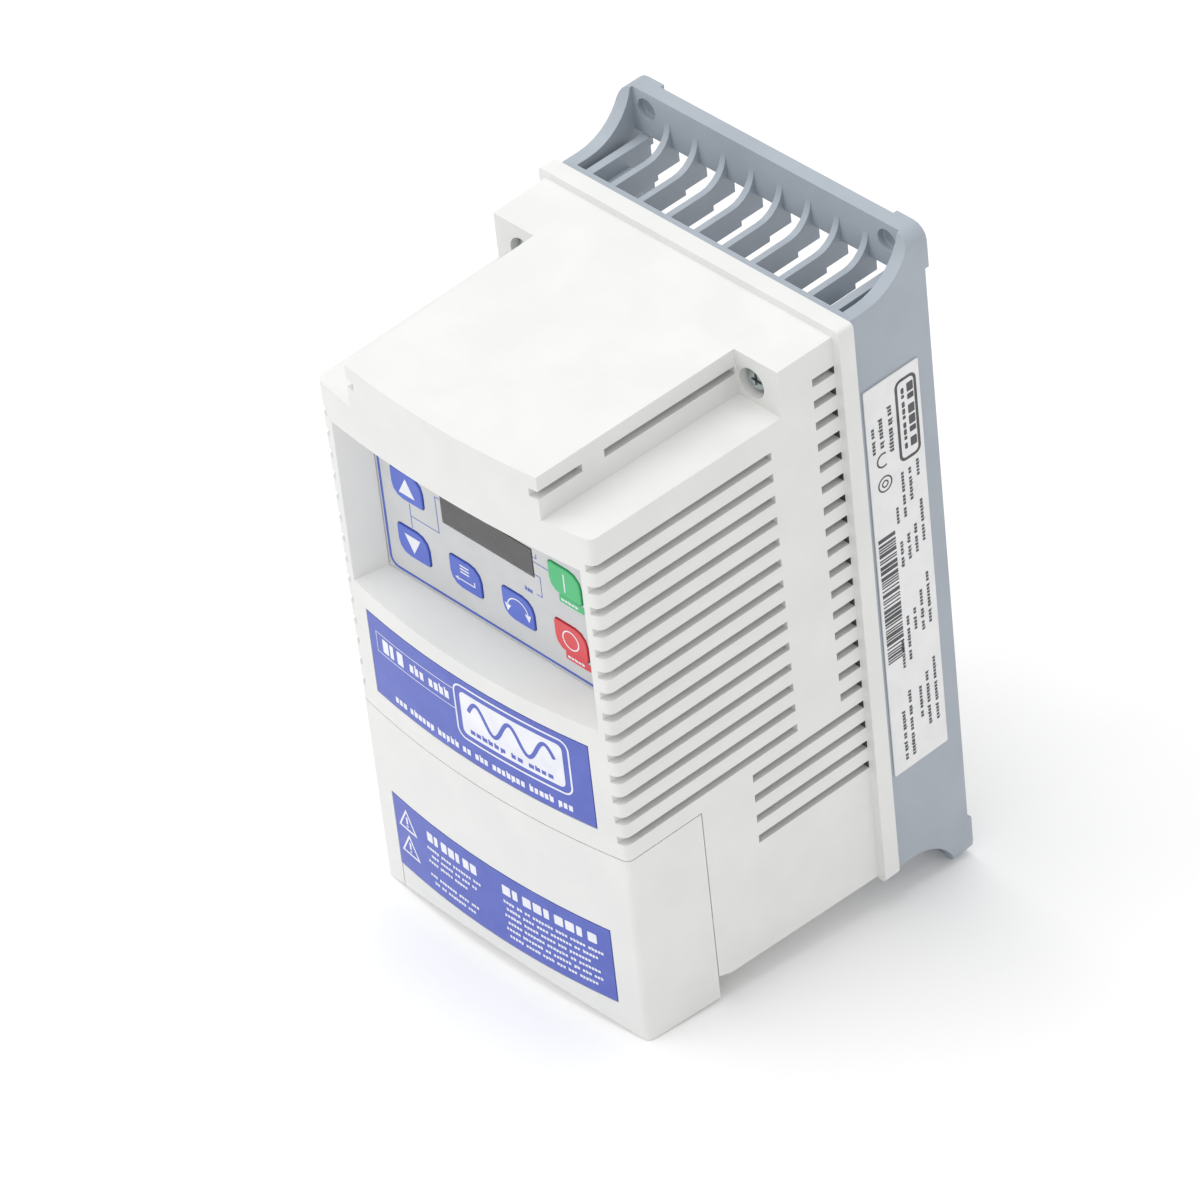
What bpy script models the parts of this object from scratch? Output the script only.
"""Wall-mounted variable frequency drive for small motors, as an assembly of separate solids.

Every size below is in millimetres; MM turns it into metres when a mesh is made.
X points to the right, Y to the back (the wall side) and Z up.
The origin is under the middle of the drive: x = 0 halfway across, y = 0 halfway
through its depth, z = 0 at the lower edge of the mounting plate.
"""

import math

import bmesh
import bpy
from mathutils import Vector

MM = 0.001
GAP = 0.3                      # clearance between two pieces that touch
HALF_GAP = GAP / 2
FAR = 90.0                     # how far cutting blocks reach past the drive
PAST = 5.0                     # how far smaller cutters reach past the face they cut
ROUND_SIDES = 20               # sides of a turned piece
SMALL_ROUND_SIDES = 12         # sides of a small turned piece

# Overall sizes
HEIGHT = 190.0                 # mounting plate, top to bottom
WIDTH = 99.0                   # across the housing's rear band
DEPTH = 111.0                  # rear pads to the crown of the front face
BACK_Y = DEPTH / 2
FRONT_Y = -DEPTH / 2

# Rear base: mounting plate, side walls, ribs
PAD_HEIGHT = 1.2               # pads behind the mounting holes
BASE_DEPTH = 25.2              # joint to the plate's back face
BASE_SIDE_STEP = 2.1           # the band stands this far proud of the base
BASE_WALL = 3.6
BASE_FRONT_WALL = 2.0
BASE_RIM_DROP = 12.0           # the rim at the joint lies this far inside the plate's ends
PLATE_THICKNESS = 3.9
PLATE_BAND = 12.5              # height of the closed band of plate at each end
PLATE_CORNER_RADIUS = 4.0
RIM_FLAT = 5.6                 # flat run of the rim before it sweeps out to the plate
RIM_SWEEP_RADIUS = 15.3
RIB_COUNT = 8
RIB_PITCH = 9.3
RIB_THICKNESS = 1.8
RIB_DROP = 0.8                 # rib tops lie below the rim
RIB_DEPTH = 5.9                # height of the bar under its top
RIB_STEP = 1.4                 # the rear half of the bar is this much thinner
RIB_STEP_Y = 16.0              # from the joint to that step
RIB_SWEEP_RADIUS = 7.5
INNER_WALL_X = 40.5
INNER_WALL_THICKNESS = 2.4
INNER_WALL_LENGTH = 19.3       # from the joint, short of the plate's back
INNER_RAIL_HEIGHT = 2.4        # low rail that joins an inner wall to the plate
PAD_INNER_X = 38.2             # the pads run from here to the plate's side edges
BASE_BOSS_RADIUS = 3.6         # bosses that the long housing screws bite into
BASE_BOSS_LENGTH = 14.0
THREAD_DEPTH = 12.5
SINK_THREAD_DEPTH = 10.0

# Mounting holes
MOUNT_SPACING_X = 79.0
MOUNT_SPACING_Z = 180.0
MOUNT_HOLE_RADIUS = 2.25
MOUNT_SINK_RADIUS = 3.0
MOUNT_SINK_DEPTH = 1.5

# Front housing
WALL = 2.4
BAND_CORNER_RADIUS = 1.2
BAND_DEPTH = 4.9
BAND_DROP = 11.15              # band top below the plate's top
BAND_RISE = 12.6               # band bottom above the plate's bottom
BODY_SIDE_STEP = 2.3           # the band stands this far proud of the body's sides
BODY_TOP_STEP = 2.0
BODY_BOTTOM_STEP = 1.0
SIDE_DRAFT = 0.019             # moulding draft of the sides, millimetres in a millimetre
TOP_DRAFT = 0.0105
BOTTOM_DRAFT = 0.034
FRONT_RADIUS = 243.0           # plan radius of the bowed front face
CORNER_REACH = 1.8             # where the rounding of the upright front corners starts
CENTRE_HALF_REAR = 33.1        # raised middle of the top, at the step
CENTRE_HALF_FRONT = 31.8
LEDGE_DROP = 13.1              # ledges beside the raised middle, below the top
STEP_SETBACK = 22.0            # the step's face, forward of the joint
SCREW_X = 38.0
TOP_SCREW_DROP = 7.6           # top screws below the body's top
BOTTOM_SCREW_RISE = 9.0        # bottom screws above the body's bottom
BOSS_RADIUS = 5.6
HEAD_WELL_RADIUS = 4.0
HEAD_WELL_DEPTH = 4.0
SHANK_RADIUS = 1.5
HOUSING_HEAD = (3.4, 2.4)      # screw heads: radius and height
SINK_HEAD = (2.8, 1.8)
EARTH_HEAD = (2.6, 2.0)
SCREW_BITE = 11.5              # how far a long screw reaches into the base
SINK_SCREW_BITE = 3.0
CROSS_ARM = 0.56               # cross slots, as shares of the head's radius and height
CROSS_HALF_WIDTH = 0.12
CROSS_DEPTH = 0.6

# Louvres in both sides: rows counted down from the top one
LOUVRE_TOP_DROP = 8.2          # first row's upper edge, below the body's top
LOUVRE_PITCH = 6.23
LOUVRE_HEIGHT = 2.3
REAR_SLOT_LENGTH = 6.9
REAR_SLOT_ROWS = 16
FRONT_SLOT_FIRST_ROW = 2
FRONT_SLOT_ROWS = 14
FRONT_SLOT_END = 25.9          # rear end of the long front slots, forward of the joint
WRAP_REACH = 2.6               # how far they wrap onto the front face
LOW_SLOT_ROWS = 4
LOW_SLOT_LENGTH = 35.8
SLIT_DROP = 4.9                # slits in the raised middle's sides, below the top
SLIT_HEIGHT = 2.3
SLIT_WRAP = 2.6
SHORT_SLIT_LENGTH = 15.5
SLIT_BRIDGE = 6.7

# Keypad recess
RECESS_HALF_WIDTH = 37.4       # at the panel
RECESS_BOTTOM = 108.4
RECESS_TOP = 150.4
RECESS_DEPTH = 11.2            # crown of the front face to the panel's face
RECESS_SIDE_SLOPE = 0.55       # widening toward the front
RECESS_FLOOR_SLOPE = 0.27
RECESS_TOP_SLOPE = 0.42
RECESS_WALL = 1.6
PANEL_THICKNESS = 0.9
PANEL_INSET = 0.4
KEY_WIDTH = 10.4
KEY_HEIGHT = 8.4
KEY_SMALL_RADIUS = 1.0
KEY_LARGE_RADIUS = 3.6
KEY_PROUD = 0.4
KEY_TRAVEL = 0.5
KEY_OUTER_X = 26.6
KEY_INNER_X = 8.9
KEY_TOP_ROW = 137.2
KEY_BOTTOM_ROW = 120.2
KEY_STEM_RADIUS = 2.0
KEY_FLANGE = 0.9               # the hidden flange that keeps a key behind the panel
KEY_FLANGE_THICKNESS = 0.8
DISPLAY_LEFT = -15.2
DISPLAY_RIGHT = 15.9
DISPLAY_BOTTOM = 132.8
DISPLAY_TOP = 141.4
DISPLAY_LEDGE = 0.5            # the floor carries the window's edge

# Terminal cover and the bay behind it
SEAM_Z = 68.0
COVER_DEPTH = 27.4             # crown of the front face to the cover's rear edge
COVER_BOTTOM_FRONT = 12.0
COVER_BOTTOM_REAR = 10.2
COVER_BEVEL_HEIGHT = 5.0       # bevel under the crown of its front
COVER_BEVEL_DEPTH = 4.4
COVER_LIP = 0.9                # small lip under its rear edge
COVER_LIP_DEPTH = 1.5
COVER_SLIT = (-37.6, 0.4, 0.7, 20.5)   # slit under the caution label: x, width, depth, top
CHAMFER_RISE = 1.2             # chamfer under the housing just behind the cover
CHAMFER_LENGTH = 4.0
CABLE_HOLE_RADIUS = 7.0
CABLE_HOLE_PITCH = 24.0
CABLE_HOLE_COUNT = 3

# Labels
LABEL_THICKNESS = 0.3
LABEL_POCKET = 0.6
LABEL_CORNER = 0.4
FRONT_LABEL = (-37.5, 37.5, 75.0, 99.8)
CAUTION_LABEL = (-37.6, 37.6, 20.8, 43.1)
SIDE_LABEL = (2.5, 20.3, 40.3, 156.1)   # y low and high count back from the joint

# Heatsink and electronics
SINK_PLATE = 3.4
SINK_PLATE_HALF = 43.0
SINK_PLATE_BOTTOM = 32.0
SINK_PLATE_TOP = 159.0
FIN_COUNT = 9
FIN_PITCH = 8.0
FIN_THICKNESS = 1.6
FIN_BOTTOM = 42.0
FIN_TOP = 144.0
FIN_BACK_GAP = 1.8
SINK_SCREW_X = 39.0
SINK_SCREW_INSET = 6.0
BOARD_THICKNESS = 1.6
STANDOFF_LENGTH = 12.5
POWER_BOARD = (-41.0, 41.0, 54.0, 150.0)
CONTROL_BOARD = (-41.0, 41.0, 29.0, 156.0)
KEYPAD_BOARD = (-35.5, 35.5, 110.0, 147.0)
CONTROL_BOARD_HOLES = [(-36.0, 150.0), (36.0, 150.0)]
STANDOFF_RADIUS = 2.9
STANDOFF_INSET = 5.0           # from the power board's corners
BOARD_HOLE_RADIUS = 1.7
POWER_MODULE = (-28.0, 28.0, 71.0, 105.0)
MODULE_LEG = 2.5               # the module stands this far off its board
THERMAL_PAD_THICKNESS = 0.5
BOARD_CONNECTOR = (2.0, 34.0, 60.0, 65.0)
CAPACITOR_X = (-27.0, -6.0, 15.0)
CAPACITOR_Z = 134.0
CAPACITOR_RADIUS = 8.6
CAPACITOR_CLEARANCE = 4.0      # their crowns stay this far behind the control board
BOARD_COMPONENTS = [           # name, x range, z range, height above the board, finish
    ("relay", (26.0, 38.0), (92.0, 112.0), 15.0, "component_black"),
    ("transformer", (-36.0, -12.0), (92.0, 114.0), 20.0, "component_black"),
    ("mains_choke", (-4.0, 18.0), (92.0, 114.0), 18.0, "component_black"),
    ("filter_capacitor", (-36.0, -10.0), (66.0, 80.0), 14.0, "filter_yellow"),
]

# Terminal bay: areas are x low, x high, z low, z high
POWER_BLOCK = (-33.0, 33.0, 29.5, 43.5)
POWER_BLOCK_PROUD = 12.05      # how far each piece stands in front of the deck
POLE_COUNT = 7
POLE_WELL_RADIUS = 2.9
POLE_WELL_DEPTH = 6.0
POLE_WELL_DROP = 4.5           # clamp screws below the block's top
CLAMP_SINK = 2.0               # their faces behind the block's front
CLAMP_SLOT_HALF = 0.4
WIRE_ENTRY = (5.6, 4.5)        # wire entries: width and height
WIRE_ENTRY_FROM = 1.5          # they start and end this far behind the block's front
WIRE_ENTRY_TO = 7.0
CONTROL_BLOCK = (-34.0, 8.0, 47.0, 57.0)
CONTROL_BLOCK_PROUD = 9.05
CONTROL_POLE_COUNT = 11
CONTROL_ENTRY_RADIUS = 1.1
CONTROL_ENTRY_RISE = 3.0       # wire holes above the block's bottom
CONTROL_ENTRY_DEPTH = 6.0
RELEASE_SLOT = (1.8, 1.8, 1.2) # spring release slots: width, height and depth
RELEASE_DROP = 1.4             # below the block's top
MEMORY_MODULE = (14.0, 26.0, 45.0, 59.0)
MEMORY_PROUD = 10.05
MEMORY_PLUG_GAP = 2.5          # its socket starts this far in front of the deck's back
MEMORY_CORNER_RADIUS = 1.2
GRIP_PITCH = 3.2
GRIP_HALF_WIDTH = 0.7          # grip grooves: half width, depth, and where they start and end
GRIP_DEPTH = 0.7
GRIP_FROM = 1.0
GRIP_TO = 5.0
SOCKET_INSET = 1.5
SWITCH_BODY = (31.0, 39.0, 49.0, 54.0)
SWITCH_PROUD = 3.05
SWITCH_TRAVEL = 2.0
SWITCH_SLOT_DEPTH = 1.6
SWITCH_SLOT_INSET = 1.4
SWITCH_SLOT_HALF = 1.2
SWITCH_KNOB_PROUD = 1.2
EARTH_TAB = (35.5, 42.0, 32.0, 45.0)
EARTH_TAB_THICKNESS = 1.6
EARTH_SCREW = (38.8, 41.0)

# Depths and heights worked out from the sizes above
JOINT_Y = BACK_Y - PAD_HEIGHT - BASE_DEPTH
PLATE_BACK_Y = JOINT_Y + BASE_DEPTH
PLATE_FRONT_Y = PLATE_BACK_Y - PLATE_THICKNESS
BASE_FRONT_Y = JOINT_Y + HALF_GAP
HOUSING_REAR_Y = JOINT_Y - HALF_GAP
BAND_FRONT_Y = JOINT_Y - BAND_DEPTH
BAND_TOP = HEIGHT - BAND_DROP
BAND_BOTTOM = BAND_RISE
BODY_TOP = BAND_TOP - BODY_TOP_STEP
BODY_BOTTOM = BAND_BOTTOM + BODY_BOTTOM_STEP
BODY_HALF = WIDTH / 2 - BODY_SIDE_STEP
BASE_HALF_WIDTH = WIDTH / 2 - BASE_SIDE_STEP
STEP_Y = JOINT_Y - STEP_SETBACK
LEDGE_Z = BODY_TOP - LEDGE_DROP
TOP_SCREW_Z = BODY_TOP - TOP_SCREW_DROP
BOTTOM_SCREW_Z = BODY_BOTTOM + BOTTOM_SCREW_RISE
COVER_REAR_Y = FRONT_Y + COVER_DEPTH
PANEL_FRONT_Y = FRONT_Y + RECESS_DEPTH
PANEL_REAR_Y = PANEL_FRONT_Y + PANEL_THICKNESS
FLOOR_FRONT_Y = PANEL_REAR_Y + GAP
FLOOR_REAR_Y = FLOOR_FRONT_Y + RECESS_WALL
DECK_FRONT_Y = COVER_REAR_Y + HALF_GAP
DECK_REAR_Y = DECK_FRONT_Y + WALL
POWER_BLOCK_FRONT_Y = DECK_FRONT_Y - POWER_BLOCK_PROUD
CONTROL_BLOCK_FRONT_Y = DECK_FRONT_Y - CONTROL_BLOCK_PROUD
MEMORY_FRONT_Y = DECK_FRONT_Y - MEMORY_PROUD
SWITCH_FRONT_Y = DECK_FRONT_Y - SWITCH_PROUD
SINK_FRONT_Y = HOUSING_REAR_Y - SINK_PLATE
POWER_BOARD_REAR_Y = SINK_FRONT_Y - GAP - STANDOFF_LENGTH - GAP
POWER_BOARD_FRONT_Y = POWER_BOARD_REAR_Y - BOARD_THICKNESS
CONTROL_BOARD_FRONT_Y = DECK_REAR_Y + 2.0
CONTROL_BOARD_REAR_Y = CONTROL_BOARD_FRONT_Y + BOARD_THICKNESS
KEYPAD_BOARD_FRONT_Y = FLOOR_REAR_Y + 3.0
KEYPAD_BOARD_REAR_Y = KEYPAD_BOARD_FRONT_Y + BOARD_THICKNESS


# ---------------------------------------------------------------- helpers

def clear_scene():
    """Take away whatever the file holds."""
    for old in list(bpy.data.objects):
        bpy.data.objects.remove(old, do_unlink=True)


def finish_material(name, colour, roughness, metallic=0.0):
    """One Principled material with a colour, a roughness and a metallic value."""
    mat = bpy.data.materials.new(name)
    mat.use_nodes = True
    shader = mat.node_tree.nodes["Principled BSDF"]
    shader.inputs["Base Color"].default_value = (*colour, 1.0)
    shader.inputs["Roughness"].default_value = roughness
    shader.inputs["Metallic"].default_value = metallic
    mat.diffuse_color = (*colour, 1.0)
    return mat


def place(axis, first, second, along):
    """A point from two coordinates across an axis and one along it."""
    if axis == "X":
        return Vector((along, first, second))
    if axis == "Y":
        return Vector((first, along, second))
    return Vector((first, second, along))


def add_prism(bm, outline, axis, low, high):
    """Extrude a closed outline along X, Y or Z between two heights."""
    low_ring = [bm.verts.new(place(axis, a, b, low)) for a, b in outline]
    high_ring = [bm.verts.new(place(axis, a, b, high)) for a, b in outline]
    bm.faces.new(low_ring)
    bm.faces.new(high_ring)
    count = len(outline)
    for i in range(count):
        j = (i + 1) % count
        bm.faces.new((low_ring[i], low_ring[j], high_ring[j], high_ring[i]))


def add_block(bm, x_range, y_range, z_range):
    """A rectangular block from three ranges."""
    outline = [
        (x_range[0], y_range[0]),
        (x_range[1], y_range[0]),
        (x_range[1], y_range[1]),
        (x_range[0], y_range[1]),
    ]
    add_prism(bm, outline, "Z", z_range[0], z_range[1])


def circle_outline(first, second, radius, sides):
    """Points round a circle."""
    turn = 2 * math.pi / sides
    return [
        (first + radius * math.cos(i * turn), second + radius * math.sin(i * turn))
        for i in range(sides)
    ]


def add_rod(bm, first, second, radius, axis, low, high, sides=ROUND_SIDES):
    """A round bar along X, Y or Z."""
    add_prism(bm, circle_outline(first, second, radius, sides), axis, low, high)


def add_frustum(bm, near, far):
    """A four-sided block along Y whose two ends, (y, x low, x high, z low, z high), differ."""
    rings = []
    for y, x_low, x_high, z_low, z_high in (near, far):
        corners = [(x_low, z_low), (x_high, z_low), (x_high, z_high), (x_low, z_high)]
        rings.append([bm.verts.new((x, y, z)) for x, z in corners])
    bm.faces.new(rings[0])
    bm.faces.new(rings[1])
    for i in range(4):
        j = (i + 1) % 4
        bm.faces.new((rings[0][i], rings[0][j], rings[1][j], rings[1][i]))


def corner_arc(corner, start, end, steps):
    """A rounded corner: a curve from start to end that leans toward the corner point."""
    points = []
    for i in range(steps + 1):
        t = i / steps
        a = (1 - t) ** 2
        b = 2 * t * (1 - t)
        c = t * t
        points.append((
            a * start[0] + b * corner[0] + c * end[0],
            a * start[1] + b * corner[1] + c * end[1],
        ))
    return points


def rounded_rectangle(low_a, high_a, low_b, high_b, radii, steps=4):
    """A rectangle with its own radius at each corner: low-low, high-low, high-high, low-high."""
    corners = [(low_a, low_b), (high_a, low_b), (high_a, high_b), (low_a, high_b)]
    inward = [(1, 1), (-1, 1), (-1, -1), (1, -1)]
    outline = []
    for index, (corner, sign, radius) in enumerate(zip(corners, inward, radii)):
        if radius <= 0:
            outline.append(corner)
            continue
        centre = (corner[0] + sign[0] * radius, corner[1] + sign[1] * radius)
        first_angle = math.pi + index * math.pi / 2
        for step in range(steps + 1):
            angle = first_angle + step * math.pi / 2 / steps
            outline.append((
                centre[0] + radius * math.cos(angle),
                centre[1] + radius * math.sin(angle),
            ))
    return outline


def make_object(name, bm, mat, pivot=(0.0, 0.0, 0.0), smooth=False):
    """Turn millimetre bmesh data into an object in metres whose origin is the pivot."""
    bmesh.ops.recalc_face_normals(bm, faces=bm.faces)
    for vert in bm.verts:
        vert.co = (vert.co - Vector(pivot)) * MM
    mesh = bpy.data.meshes.new(name)
    bm.to_mesh(mesh)
    bm.free()
    if mat is not None:
        mesh.materials.append(mat)
    if smooth:
        mesh.shade_smooth()
        mesh.set_sharp_from_angle(angle=math.radians(35))
    made = bpy.data.objects.new(name, mesh)
    made.location = Vector(pivot) * MM
    bpy.context.scene.collection.objects.link(made)
    return made


def combine(target, tool, operation):
    """Apply one exact Boolean of the tool object to the target, and take the tool away."""
    tool.hide_render = True
    tool.display_type = "WIRE"
    modifier = target.modifiers.new("combine", "BOOLEAN")
    modifier.operation = operation
    modifier.object = tool
    modifier.solver = "EXACT"
    bpy.context.view_layer.update()
    graph = bpy.context.evaluated_depsgraph_get()
    result = bpy.data.meshes.new_from_object(target.evaluated_get(graph))
    target.modifiers.remove(modifier)
    old_mesh = target.data
    target.data = result
    result.name = target.name
    bpy.data.meshes.remove(old_mesh)
    tool_mesh = tool.data
    bpy.data.objects.remove(tool, do_unlink=True)
    bpy.data.meshes.remove(tool_mesh)


def cut_with(target, build):
    """Cut the solids that build(bm) adds out of the target."""
    bm = bmesh.new()
    build(bm)
    combine(target, make_object("tool", bm, None), "DIFFERENCE")


def join_with(target, build):
    """Melt the solids that build(bm) adds into the target."""
    bm = bmesh.new()
    build(bm)
    combine(target, make_object("tool", bm, None), "UNION")


def keep_inside(target, build):
    """Keep only what lies inside the solid that build(bm) adds."""
    bm = bmesh.new()
    build(bm)
    combine(target, make_object("tool", bm, None), "INTERSECT")


# ---------------------------------------------------------------- shared outlines

def body_half(y):
    """Half width of the housing's body at a depth, with its draft."""
    return BODY_HALF - SIDE_DRAFT * (BAND_FRONT_Y - y)


def body_top(y):
    """Height of the housing's top at a depth."""
    return BODY_TOP - TOP_DRAFT * (JOINT_Y - y)


def body_bottom(y):
    """Height of the housing's underside at a depth."""
    return BODY_BOTTOM + BOTTOM_DRAFT * (JOINT_Y - y)


def centre_half(y):
    """Half width of the raised middle of the top at a depth."""
    share = (STEP_Y - y) / (STEP_Y - FRONT_Y)
    return CENTRE_HALF_REAR + (CENTRE_HALF_FRONT - CENTRE_HALF_REAR) * share


def front_y(x, inset=0.0):
    """Depth of the bowed front face at a distance from the middle."""
    radius = FRONT_RADIUS - inset
    centre_y = FRONT_Y + FRONT_RADIUS
    return centre_y - math.sqrt(radius * radius - x * x)


def corner_x(inset=0.0):
    """Where the side and the front face would meet in a sharp corner."""
    x = BODY_HALF
    for _ in range(12):
        x = body_half(front_y(x, inset)) - inset
    return x


def plan_outline(inset, rear_y, front_steps=12, corner_steps=4):
    """Plan of the housing: straight drafted sides, rounded corners and a bowed front."""
    sharp_x = corner_x(inset)
    sharp_y = front_y(sharp_x, inset)
    reach = max(CORNER_REACH - inset * 0.8, 0.6)
    side_point = (body_half(sharp_y + reach) - inset, sharp_y + reach)
    front_x = sharp_x - reach
    front_point = (front_x, front_y(front_x, inset))
    right = [(body_half(rear_y) - inset, rear_y)]
    right += corner_arc((sharp_x, sharp_y), side_point, front_point, corner_steps)
    for i in range(1, front_steps):
        x = front_x - 2 * front_x * i / front_steps
        right.append((x, front_y(x, inset)))
    left = corner_arc((-sharp_x, sharp_y), (-side_point[0], side_point[1]),
                      (-front_point[0], front_point[1]), corner_steps)
    right += list(reversed(left))
    right.append((-body_half(rear_y) + inset, rear_y))
    return right


def recess_end(y, grow):
    """The keypad recess's rectangle at a depth, grown outward by a wall."""
    reach = PANEL_FRONT_Y - y
    half = RECESS_HALF_WIDTH + RECESS_SIDE_SLOPE * reach + grow
    low = RECESS_BOTTOM - RECESS_FLOOR_SLOPE * reach - grow
    high = RECESS_TOP + RECESS_TOP_SLOPE * reach + grow
    return (y, -half, half, low, high)


def label_band(bm, label, inner, outer, steps=12):
    """A strip that follows the bowed front between two insets."""
    x_low, x_high, z_low, z_high = label
    xs = [x_low + (x_high - x_low) * i / steps for i in range(steps + 1)]
    outline = [(x, front_y(x, outer)) for x in xs]
    outline += [(x, front_y(x, inner)) for x in reversed(xs)]
    add_prism(bm, outline, "Z", z_low, z_high)


def grown(label, amount):
    """A label's rectangle grown by an amount on every side."""
    return (label[0] - amount, label[1] + amount, label[2] - amount, label[3] + amount)


# ---------------------------------------------------------------- rear base

def base_side_outline():
    """Side view of the base's outer wall: a flat rim that sweeps out to the plate's ends."""
    rim = HEIGHT - BASE_RIM_DROP
    centre_y = BASE_FRONT_Y + RIM_FLAT
    centre_z = rim + RIM_SWEEP_RADIUS
    steps = 8
    end = math.acos((centre_z - HEIGHT) / RIM_SWEEP_RADIUS)
    upper = [(BASE_FRONT_Y, rim)]
    for i in range(steps + 1):
        angle = end * i / steps
        upper.append((
            centre_y + RIM_SWEEP_RADIUS * math.sin(angle),
            centre_z - RIM_SWEEP_RADIUS * math.cos(angle),
        ))
    upper.append((PLATE_BACK_Y, HEIGHT))
    lower = [(y, HEIGHT - z) for y, z in reversed(upper)]
    return upper + lower


def rib_outline():
    """Side view of one cooling rib at the top: a stepped bar that curves up to the plate."""
    top = HEIGHT - BASE_RIM_DROP - RIB_DROP
    start_y = BASE_FRONT_Y + BASE_FRONT_WALL / 2
    end_y = PLATE_FRONT_Y + PLATE_THICKNESS / 2
    centre_y = PLATE_FRONT_Y - RIB_SWEEP_RADIUS
    centre_z = top + RIB_SWEEP_RADIUS
    points = [(start_y, top)]
    for i in range(7):
        angle = math.pi / 2 * i / 6
        points.append((
            centre_y + RIB_SWEEP_RADIUS * math.sin(angle),
            centre_z - RIB_SWEEP_RADIUS * math.cos(angle),
        ))
    low = top - RIB_DEPTH
    step_y = BASE_FRONT_Y + RIB_STEP_Y
    points += [(end_y, centre_z), (end_y, low + RIB_STEP), (step_y, low + RIB_STEP)]
    points += [(step_y, low), (start_y, low)]
    return points


def mount_points():
    """The four mounting holes as (x, z)."""
    middle = HEIGHT / 2
    return [
        (sx * MOUNT_SPACING_X / 2, middle + sz * MOUNT_SPACING_Z / 2)
        for sx in (-1, 1)
        for sz in (-1, 1)
    ]


def screw_points():
    """The four long housing screws as (x, z)."""
    return [(sx * SCREW_X, z) for sx in (-1, 1) for z in (TOP_SCREW_Z, BOTTOM_SCREW_Z)]


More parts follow.
